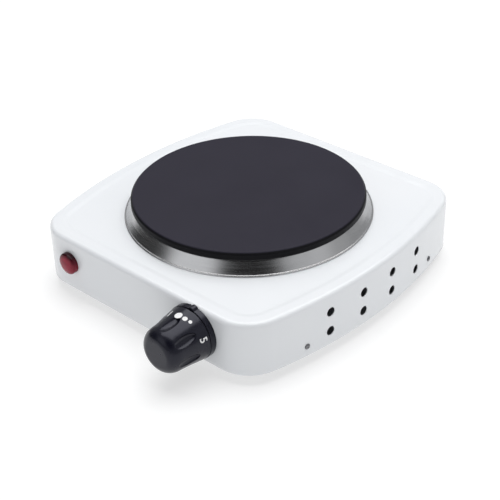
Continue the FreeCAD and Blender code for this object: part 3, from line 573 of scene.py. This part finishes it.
def make_plate():
    """Cast-iron disc: flat top, chamfer with soft edges, undercut, skirt and ribs beneath."""
    top, radius = PLATE_HIGH.z, PLATE_RADIUS
    flange = top - 5.8 * MM
    skirt, low, groove = 73.5 * MM, PLATE_LOW.z, top - 6.5 * MM
    corners = [
        (0, top, 0),
        (radius - 1.5 * MM, top, 0.7 * MM),
        (radius - 0.1 * MM, top - 1.4 * MM, 0.9 * MM),
        (radius, top - 4.6 * MM, 0.4 * MM),
        (radius - 1.0 * MM, flange, 0.5 * MM),
        (skirt, flange, 0.3 * MM),
        (skirt, low, 0.3 * MM),
        (skirt - 3 * MM, low, 0.3 * MM),
        (skirt - 3 * MM, groove, 0.5 * MM),
    ]
    for outer, inner in ((55, 53), (39, 37), (22, 19), (9, 2.6)):
        for r, z in ((outer, groove), (outer, low), (inner, low), (inner, groove)):
            corners.append((r * MM, z, 0.3 * MM))
    corners = corners[:-1] + [(2.6 * MM, top - 5 * MM, 0), (0, top - 5 * MM, 0)]
    plate = lathe("plate", rounded(corners), Vector((PLATE_MID.x, PLATE_MID.y, 0)), segments=240)
    finish(plate, "body", "cast_iron", "iron", "hot_plate")


def make_ring():
    """Pressed stainless collar: flared skirt with a rolled lip that rests in the pan."""
    top = PLATE_HIGH.z - 5.85 * MM
    foot = RIM - PAN_DEPTH + 0.05 * MM
    r = 73.5 * MM
    outer_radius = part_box("trim_ring")[1].x
    outer = [
        (r + 0.4 * MM, top, 0.1 * MM),
        (r + 2.8 * MM, top, 0.5 * MM),
        (r + 3.5 * MM, top - 0.9 * MM, 1.2 * MM),
        (r + 5.8 * MM, top - 4.3 * MM, 20.0 * MM),
        (outer_radius - 1.1 * MM, foot + 1.1 * MM, 0.5 * MM),
        (outer_radius - 0.45 * MM, foot + 1.0 * MM, 0.3 * MM),
        (outer_radius, foot + 0.55 * MM, 0.25 * MM),
        (outer_radius, foot, 0.2 * MM),
        (outer_radius - 0.8 * MM, foot, 0.2 * MM),
        (outer_radius - 1.3 * MM, foot + 0.45 * MM, 0.3 * MM),
        (r + 5.2 * MM, top - 4.6 * MM, 20.0 * MM),
        (r + 2.9 * MM, top - 1.2 * MM, 0.8 * MM),
        (r + 2.3 * MM, top - 0.6 * MM, 0.3 * MM),
        (r + 0.4 * MM, top - 0.6 * MM, 0.1 * MM),
    ]
    ring = lathe("trim_collar", rounded(outer, 8), Vector((PLATE_MID.x, PLATE_MID.y, 0)),
                 segments=288)
    finish(ring, "body", "stainless", "stainless", "trim_ring")


# ---- knob -------------------------------------------------------------------------------------

KNOB_RADIUS = 17.8 * MM
KNOB_WAIST = 16.0 * MM
KNOB_FRONT = 14.2 * MM
KNOB_DISC = 8.2 * MM
KNOB_ROUND = 9.0 * MM
KNOB_SKIRT = 12 * MM
FLUTES = 7
FLUTE_TURN = math.radians(2)


def knob_radius(y):
    """The knob's radius without flutes, up to where its nose starts to round."""
    behind = KNOB_BACK - y
    if behind < KNOB_SKIRT:
        return KNOB_RADIUS + (KNOB_WAIST - KNOB_RADIUS) * behind / KNOB_SKIRT
    length = KNOB_BACK - KNOB_SKIRT - KNOB_NOSE
    return KNOB_WAIST + (KNOB_FRONT - KNOB_WAIST) * (behind - KNOB_SKIRT) / length


def make_knob():
    """Hollow moulded knob, rounded into a flat disc at its nose, with seven finger flutes."""
    end = KNOB_NOSE + KNOB_ROUND
    outer = [(knob_radius(KNOB_BACK) - 0.5 * MM, KNOB_BACK),
             (knob_radius(KNOB_BACK) - 0.15 * MM, KNOB_BACK - 0.15 * MM)]
    start = KNOB_BACK - 0.5 * MM
    steps = 18
    for step in range(steps + 1):
        y = start + (end - start) * step / steps
        outer.append((knob_radius(y), y))
    steps = 20
    base = knob_radius(end)
    for step in range(1, steps + 1):
        turn = math.pi / 2 * step / steps
        outer.append((KNOB_DISC + (base - KNOB_DISC) * math.cos(turn),
                      end - KNOB_ROUND * math.sin(turn)))
    outer.append((0.5 * KNOB_DISC, KNOB_NOSE))
    cavity, stem, bore = 12.6 * MM, 5.5 * MM, 3.05 * MM
    inner = [
        (0, KNOB_NOSE + 10 * MM), (bore, KNOB_NOSE + 10 * MM), (bore, KNOB_BACK + 2 * MM),
        (stem, KNOB_BACK + 2 * MM), (stem, KNOB_NOSE + 4.5 * MM),
        (cavity - 4.5 * MM, KNOB_NOSE + 4.5 * MM), (cavity, KNOB_NOSE + 9.5 * MM),
        (cavity, KNOB_BACK),
    ]
    centre = Vector((KNOB_X, 0, KNOB_Z))
    verts, rings, segments = [], [], 180
    for radius, y in inner + outer:
        count = segments if radius > 1e-7 else 1
        rings.append(list(range(len(verts), len(verts) + count)))
        for k in range(count):
            turn = 2 * math.pi * k / segments
            verts.append(centre + Vector((radius * math.sin(turn), y, radius * math.cos(turn))))
    faces = []
    for low, high in zip(rings, rings[1:]):
        join_rings(faces, low, high)
    faces.append(tuple(rings[-1]))
    knob = piece("knob_body", verts, faces)

    scoops = []
    for flute in range(FLUTES):
        turn = FLUTE_TURN + 2 * math.pi * flute / FLUTES
        offset = KNOB_WAIST + 0.35 * MM
        scoop = ellipsoid((3.7 * MM, 9.4 * MM, 2.6 * MM))
        spin = Matrix.Rotation(turn, 4, "Y")
        place = centre + Vector((offset * math.sin(turn), KNOB_NOSE + 11.0 * MM,
                                 offset * math.cos(turn)))
        scoop.data.transform(Matrix.Translation(place) @ spin)
        scoops.append(scoop)
    subtract(knob, [join("scoops", scoops)])
    knob.data.set_sharp_from_angle(angle=math.radians(22))
    finish(knob, "knob", "knob_plastic", "black_plastic", "knob")


def ellipsoid(half):
    """A closed ellipsoid about the origin from its three half sizes."""
    outline = [(0.0, -1.0)]
    steps = 26
    for step in range(1, steps):
        turn = math.pi * step / steps
        outline.append((math.sin(turn), -math.cos(turn)))
    outline.append((0.0, 1.0))
    shape = lathe("scoop", outline, Vector(), segments=56)
    shape.data.transform(Matrix.Diagonal((half[0], half[2], half[1], 1)))
    shape.data.transform(Matrix.Rotation(math.pi / 2, 4, "X"))
    return shape


def wrapped(name, flat, turn, reach, lift=0.04 * MM, thick=0.06 * MM):
    """Lays a flat mesh on the knob's skirt: flat x runs round the knob, flat y towards the wall."""
    work = bmesh.new()
    work.from_mesh(flat)
    bmesh.ops.subdivide_edges(
        work, edges=[e for e in work.edges if e.calc_length() > 0.5 * MM], cuts=3,
        use_grid_fill=True)
    solid = bmesh.ops.extrude_face_region(work, geom=work.faces[:])
    for item in solid["geom"]:
        if isinstance(item, bmesh.types.BMVert):
            item.co.z += thick
    for vert in work.verts:
        y = reach + vert.co.y
        radius = knob_radius(y) + lift + vert.co.z - thick
        angle = turn + vert.co.x / radius
        vert.co = Vector((KNOB_X + radius * math.sin(angle), y, KNOB_Z + radius * math.cos(angle)))
    bmesh.ops.recalc_face_normals(work, faces=work.faces)
    mesh = bpy.data.meshes.new(name)
    work.to_mesh(mesh)
    work.free()
    obj = bpy.data.objects.new(name, mesh)
    bpy.context.scene.collection.objects.link(obj)
    return obj


def flat_text(text, size):
    curve = bpy.data.curves.new("numeral", "FONT")
    curve.body = text
    curve.size = size
    curve.offset = 0.10 * MM
    curve.align_x, curve.align_y = "CENTER", "CENTER"
    curve.resolution_u = 6
    obj = bpy.data.objects.new("numeral", curve)
    bpy.context.scene.collection.objects.link(obj)
    bpy.context.view_layer.update()
    mesh = bpy.data.meshes.new_from_object(obj)
    bpy.data.objects.remove(obj)
    return mesh


def flat_disc(radius):
    work = bmesh.new()
    rim = 40
    centre = work.verts.new((0, 0, 0))
    rings = []
    for share in (0.5, 1.0):
        rings.append([work.verts.new((share * radius * math.cos(2 * math.pi * k / rim),
                                      share * radius * math.sin(2 * math.pi * k / rim), 0))
                      for k in range(rim)])
    for k in range(rim):
        after = (k + 1) % rim
        work.faces.new((centre, rings[0][k], rings[0][after]))
        work.faces.new((rings[0][k], rings[1][k], rings[1][after], rings[0][after]))
    mesh = bpy.data.meshes.new("dot")
    work.to_mesh(mesh)
    work.free()
    return mesh


# Each numeral: its text, clockwise angle from the top in degrees, distance in front of the wall in mm.
# Each dot: its angle, distance and radius.
NUMERALS = (("1", -28.5, 12.0), ("2", -93.4, 11.0), ("3", -158.4, 10.2), ("4", -223.3, 9.5),
            ("5", -288.3, 9.0))
DOTS = ((-3.1, 11.6, 2.45), (13.6, 11.1, 1.6), (26.2, 10.3, 1.15))


def make_marks():
    """Printed numerals 1 to 5 round the knob's skirt, and three dots of falling size at the off end."""
    marks = []
    for text, degrees, depth in NUMERALS:
        marks.append(wrapped("numeral", flat_text(text, 7.0 * MM), math.radians(degrees),
                             FRONT - depth * MM))
    for degrees, depth, radius in DOTS:
        marks.append(wrapped("dot", flat_disc(radius * MM), math.radians(degrees),
                             FRONT - depth * MM))
    finish(join("knob_marks", marks), "knob", "print_white", "black_plastic")


PIP_TURN = math.radians(6)


def make_bezel():
    """Fixed ring behind the knob; its index pip swells out of the rim."""
    low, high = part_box("knob_bezel")
    radius = (high.x - low.x) / 2
    rim = radius / MM
    corners = [
        (8.2, 0.0, 0.1), (rim, 0.0, 0.1), (rim, -4.0, 0.5), (rim - 1.2, -4.0, 0.4),
        (rim - 1.2, -1.8, 0.4), (8.2, -1.8, 0.2),
    ]
    outline = rounded([(u * MM, FRONT + v * MM, w * MM) for u, v, w in corners], 5)
    outline = dense(outline, 0.6 * MM)
    ring = lathe("bezel_ring", outline, Vector((KNOB_X, 0, KNOB_Z)), axis="Y", segments=300)
    for vert in ring.data.vertices:
        dx, dz = vert.co.x - KNOB_X, vert.co.z - KNOB_Z
        r = math.hypot(dx, dz)
        if r < radius - 0.75 * MM:
            continue
        turn = math.atan2(dx, dz) - PIP_TURN
        across = turn * radius / (2.2 * MM)
        rise = 1.35 * MM * max(0.0, 1 - across * across) ** 0.5
        vert.co.x += dx / r * rise
        vert.co.z += dz / r * rise
    finish(ring, "body", "knob_plastic", "black_plastic", "knob_bezel")


def dense(outline, step):
    """A closed outline with points added, so that none of its stretches is longer than step."""
    result = []
    for here, after in zip(outline, outline[1:] + outline[:1]):
        pieces = max(1, math.ceil((after - here).length / step))
        result += [here.lerp(after, k / pieces) for k in range(pieces)]
    return result


# ---- pilot lamp -------------------------------------------------------------------------------


def make_lens():
    """Domed red lens with its barrel behind the wall."""
    low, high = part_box("lamp_lens")
    radius = (high.x - low.x) / 2
    nose, back = low.y, high.y
    corners = [(0, nose, 0)]
    for share in (0.25, 0.45, 0.6, 0.72):
        corners.append((share * radius, nose + 1.2 * MM * share ** 2, 0))
    corners += [
        (radius, nose + 1.5 * MM, 2.4 * MM), (radius, FRONT - 0.05 * MM, 0.3 * MM),
        (5.8 * MM, FRONT - 0.05 * MM, 0), (5.8 * MM, back, 0.2 * MM), (4.4 * MM, back, 0.2 * MM),
        (4.4 * MM, FRONT - 0.2 * MM, 1.2 * MM), (0, FRONT - 1.2 * MM, 0),
    ]
    lens = lathe("lens_dome", rounded(corners, 8), Vector((LAMP.x, 0, LAMP.z)), axis="Y",
                 segments=96)
    finish(lens, "body", "red_lens", "red_lens", "lamp_lens")


# ---- small pieces -----------------------------------------------------------------------------


def cross_recess(width, depth):
    """Cutter for a cross recess in a head whose top is at z 0."""
    bars = []
    for turn in (0, math.pi / 2):
        verts = []
        for z, half, thin in ((0.3 * MM, width, 0.16 * width), (-depth, 0.45 * width, 0.10 * width)):
            for sx, sy in ((-1, -1), (1, -1), (1, 1), (-1, 1)):
                spot = Vector((sx * half, sy * thin, z))
                spot.rotate(Matrix.Rotation(turn, 3, "Z"))
                verts.append(spot)
        faces = [(0, 1, 2, 3), (7, 6, 5, 4), (0, 4, 5, 1), (1, 5, 6, 2), (2, 6, 7, 3), (3, 7, 4, 0)]
        bars.append(piece("bar", verts, faces))
    return bars


def pan_screw(radius, height, shank, length, place, direction):
    """A cross-head pan screw: place is under its head, direction points out of the work."""
    corners = [
        (0, height, 0), (0.62 * radius, 0.94 * height, 0.5 * radius),
        (radius, 0.45 * height, 0.4 * radius), (radius, 0, 0.1 * height), (shank, 0, 0),
        (shank, -length + shank, 0), (0, -length, 0),
    ]
    screw = lathe("screw", rounded(corners, 5), Vector(), segments=40)
    cutters = cross_recess(0.55 * radius, 0.7 * height)
    for cutter in cutters:
        cutter.data.transform(Matrix.Translation((0, 0, height)))
    subtract(screw, cutters)
    return stand(screw, place, direction)


def make_side_screws():
    """Cross-head screws low in the side walls."""
    screws = []
    for sign in (-1, 1):
        for y in (-SCREW_Y, SCREW_Y):
            place, normal = side_wall(y, sign)
            place.z = WALL_LOW + SCREW_Z
            screws.append(pan_screw(1.9 * MM, 0.9 * MM, 1.25 * MM, 7 * MM,
                                    place + normal * 0.03 * MM, normal))
    # The side screws get plated metal coloured dark grey, which is painted shade for the shaded holes
    # they sit in.
    finish(join("side_screws", screws), "body", "screw_painted_shade", "zinc", "base_screws")


FOOT_RADIUS = 9.0 * MM


def foot_places():
    low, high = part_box("feet")
    for x in (low.x + FOOT_RADIUS, high.x - FOOT_RADIUS):
        for y in (low.y + FOOT_RADIUS, high.y - FOOT_RADIUS):
            yield x, y


def make_feet():
    """Four rubber feet with the screws that hold them, seen from below."""
    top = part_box("feet")[1].z
    feet, screws = [], []
    for x, y in foot_places():
        corners = [
            (2.2, 5.0, 0.2), (4.6, 5.0, 0.4), (4.6, 0.0, 0.5), (7.5, 0.0, 0.9), (8.25, 4.5, 1.5),
            (8.4, 6.6, 0.3), (9.0, 7.0, 0.3), (9.0, top / MM, 0.3), (2.2, top / MM, 0.1),
        ]
        outline = rounded([(u * MM, v * MM, w * MM) for u, v, w in corners])
        feet.append(lathe("foot", outline, Vector((x, y, 0)), segments=96))
        screws.append(pan_screw(3.7 * MM, 2.3 * MM, 1.95 * MM, 9.6 * MM,
                                Vector((x, y, 5.0 * MM)), (0, 0, -1)))
    finish(join("rubber_feet", feet), "body", "rubber", "rubber", "feet")
    finish(join("feet_screws", screws), "body", "zinc", "zinc", "foot_screws")


def make_gland():
    """Bushing with a stepped, grooved nose."""
    low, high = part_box("cord_gland")
    nose = high.y
    corners = [
        (3.6, nose, 0.5), (5.1, nose, 0.6), (5.6, nose - 2.0 * MM, 0.3), (5.0, nose - 2.5 * MM, 0.3),
        (5.2, nose - 3.3 * MM, 0.3), (6.0, nose - 3.8 * MM, 0.3), (6.3, nose - 5.8 * MM, 0.3),
        (6.6, BACK + 2.2 * MM, 0.4), (8.5, BACK + 1.8 * MM, 0.7), (8.5, BACK, 0.2), (6.0, BACK, 0),
        (6.0, BACK - SHEET, 0), (8.0, BACK - SHEET, 0.2), (8.0, low.y, 0.5), (3.6, low.y, 0.5),
    ]
    outline = rounded([(u * MM, v, w * MM) for u, v, w in corners])
    gland = lathe("gland_bushing", outline, Vector((GLAND.x, 0, GLAND.z)), axis="Y", segments=96)
    finish(gland, "body", "black_rubber", "black_rubber", "cord_gland")


def finish_cad_nodes():
    """Materials for the CAD nodes that stay: the floor and everything inside."""
    renamed = {"black_plastic": "knob_plastic", "iron": "cast_iron"}
    for entry in frame["record"]["subparts"]:
        node = frame["nodes"][entry["node"]]
        slot_name = entry["material_slot"]
        material = MATERIALS[renamed.get(slot_name, slot_name)]
        for slot in node.material_slots:
            slot.material = material


# ---- studio -----------------------------------------------------------------------------------


def area_light(name, place, target, size, power, colour=(1, 1, 1)):
    light = bpy.data.lights.new(name, "AREA")
    light.shape = "RECTANGLE"
    light.size, light.size_y = size
    light.energy = power
    light.color = colour
    obj = bpy.data.objects.new(name, light)
    obj.location = place
    obj.rotation_mode = "QUATERNION"
    obj.rotation_quaternion = (Vector(target) - Vector(place)).to_track_quat("-Z", "Y")
    bpy.context.scene.collection.objects.link(obj)


def patch(world, source, direction, inner, outer, strength):
    """A soft-edged part of the surroundings, darker or lighter than the rest; returns its factor."""
    tree = world.node_tree
    facing = tree.nodes.new("ShaderNodeVectorMath")
    facing.operation = "DOT_PRODUCT"
    facing.inputs[1].default_value = direction
    tree.links.new(source, facing.inputs[0])
    fall = tree.nodes.new("ShaderNodeMapRange")
    fall.interpolation_type = "SMOOTHSTEP"
    for name, value in (("From Min", math.cos(outer)), ("From Max", math.cos(inner)),
                        ("To Min", 1.0), ("To Max", strength)):
        fall.inputs[name].default_value = value
    tree.links.new(facing.outputs["Value"], fall.inputs["Value"])
    return fall.outputs["Result"]


def toward(azimuth, elevation):
    """Direction at an azimuth from -Y towards +X and an elevation, both in degrees."""
    a, e = math.radians(azimuth), math.radians(elevation)
    return (math.sin(a) * math.cos(e), -math.cos(a) * math.cos(e), math.sin(e))


# Direction, inner and outer angle in degrees, and strength of each part of the surroundings.
PATCHES = (
    (toward(42, 43), 16, 29, 0.02),
    (toward(-62, 14), 13, 33, 0.10),
    (toward(-14, 32), 10, 28, 2.3),
    (toward(99, 28), 10, 27, 1.6),
)


def make_studio():
    """Pale floor, surroundings with soft darker and lighter parts, and two area lights."""
    floor = piece("floor", [(-6, -6, 0), (6, -6, 0), (6, 6, 0), (-6, 6, 0)], [(0, 1, 2, 3)])
    s = Shader("studio_floor", Roughness=0.9, Specular_IOR_Level=0.1)
    s.colour(s.span(s.noise(1.5, 2.0), 0, 1), (0.47, 0.47, 0.47), (0.48, 0.48, 0.48))
    s.bsdf.inputs["Emission Color"].default_value = (1, 1, 1, 1)
    s.bsdf.inputs["Emission Strength"].default_value = 0.58
    floor.data.materials.append(s.material)
    floor.location.z = -0.0002

    world = bpy.data.worlds.new("studio")
    bpy.context.scene.world = world
    world.use_nodes = True
    tree = world.node_tree
    background = tree.nodes["Background"]
    background.inputs["Color"].default_value = (0.965, 0.98, 1.0, 1)
    around = tree.nodes.new("ShaderNodeTexCoord").outputs["Generated"]
    level = tree.nodes.new("ShaderNodeValue").outputs[0]
    level.default_value = 0.40
    for direction, inner, outer, strength in PATCHES:
        factor = patch(world, around, direction, math.radians(inner), math.radians(outer),
                       strength)
        product = tree.nodes.new("ShaderNodeMath")
        product.operation = "MULTIPLY"
        tree.links.new(level, product.inputs[0])
        tree.links.new(factor, product.inputs[1])
        level = product.outputs[0]
    tree.links.new(level, background.inputs["Strength"])

    area_light("overhead", (-0.10, 0.25, 1.20), (0, 0, 0.03), (1.4, 1.4), 15.9)
    area_light("right_fill", (1.1, 0.7, 0.6), (0, 0, 0.03), (0.9, 0.9), 0.25)

    view = bpy.context.scene.view_settings
    view.view_transform = "Standard"
    view.look = "None"
    view.exposure = 0.0


def make_camera():
    """Three-quarter view from the front right, looking down, with a long lens."""
    azimuth, elevation = math.radians(42.955), math.radians(31.887)
    look_azimuth, look_elevation = math.radians(42.96), math.radians(32.873)
    roll, distance = math.radians(-1.64), 0.8181
    target = Vector((PLATE_MID.x, PLATE_MID.y, WALL_LOW + 20 * MM))

    def back(a, e):
        return Vector((math.sin(a) * math.cos(e), -math.cos(a) * math.cos(e), math.sin(e)))

    data = bpy.data.cameras.new("camera")
    data.sensor_width = 36.0
    data.lens = 87.2
    data.clip_start, data.clip_end = 0.01, 50
    camera = bpy.data.objects.new("camera", data)
    away = back(look_azimuth, look_elevation)
    right = Vector((math.cos(look_azimuth), math.sin(look_azimuth), 0))
    up = away.cross(right)
    turned_right = right * math.cos(roll) + up * math.sin(roll)
    turned_up = up * math.cos(roll) - right * math.sin(roll)
    axes = Matrix((turned_right, turned_up, away)).transposed().to_4x4()
    camera.matrix_world = Matrix.Translation(target + back(azimuth, elevation) * distance) @ axes
    bpy.context.scene.collection.objects.link(camera)
    bpy.context.scene.camera = camera


MATERIALS = {
    "enamel": enamel(),
    "cast_iron": cast_iron(),
    "stainless": stainless(),
    "knob_plastic": knob_plastic(),
    "print_white": print_white(),
    "red_lens": red_lens(),
    "galvanised": sheet_zinc("galvanised", (0.60, 0.61, 0.62), (0.50, 0.51, 0.53), 160.0),
    "zinc": sheet_zinc("zinc", (0.62, 0.62, 0.60), (0.50, 0.50, 0.50), 700.0),
    # Plated screw metal coloured dark grey: painted shade for the shaded holes that the side screws sit
    # in.
    "screw_painted_shade": sheet_zinc("screw_painted_shade", (0.34, 0.34, 0.35), (0.10, 0.10, 0.11), 700.0),
    "ceramic": moulded("ceramic", (0.74, 0.70, 0.62), (0.82, 0.79, 0.72), 0.45),
    "heating_wire": sheet_zinc("heating_wire", (0.22, 0.20, 0.19), (0.12, 0.11, 0.11), 900.0),
    "pale_plastic": moulded("pale_plastic", (0.72, 0.72, 0.68), (0.80, 0.80, 0.77), 0.38),
    "rubber": moulded("rubber", (0.018, 0.018, 0.018), (0.028, 0.028, 0.028), 0.62),
    "black_rubber": moulded("black_rubber", (0.012, 0.012, 0.013), (0.02, 0.02, 0.022), 0.45),
    "brown_wire": moulded("brown_wire", (0.13, 0.045, 0.018), (0.18, 0.065, 0.028), 0.38),
    "blue_wire": moulded("blue_wire", (0.015, 0.08, 0.38), (0.025, 0.11, 0.48), 0.38),
    "green_wire": moulded("green_wire", (0.12, 0.34, 0.03), (0.30, 0.42, 0.04), 0.38),
    "brass": brass(),
    "bulb_glass": bulb_glass(),
}

make_camera()
make_studio()
finish_cad_nodes()
make_casing()
make_plate()
make_ring()
make_knob()
make_marks()
make_bezel()
make_lens()
make_side_screws()
make_feet()
make_gland()
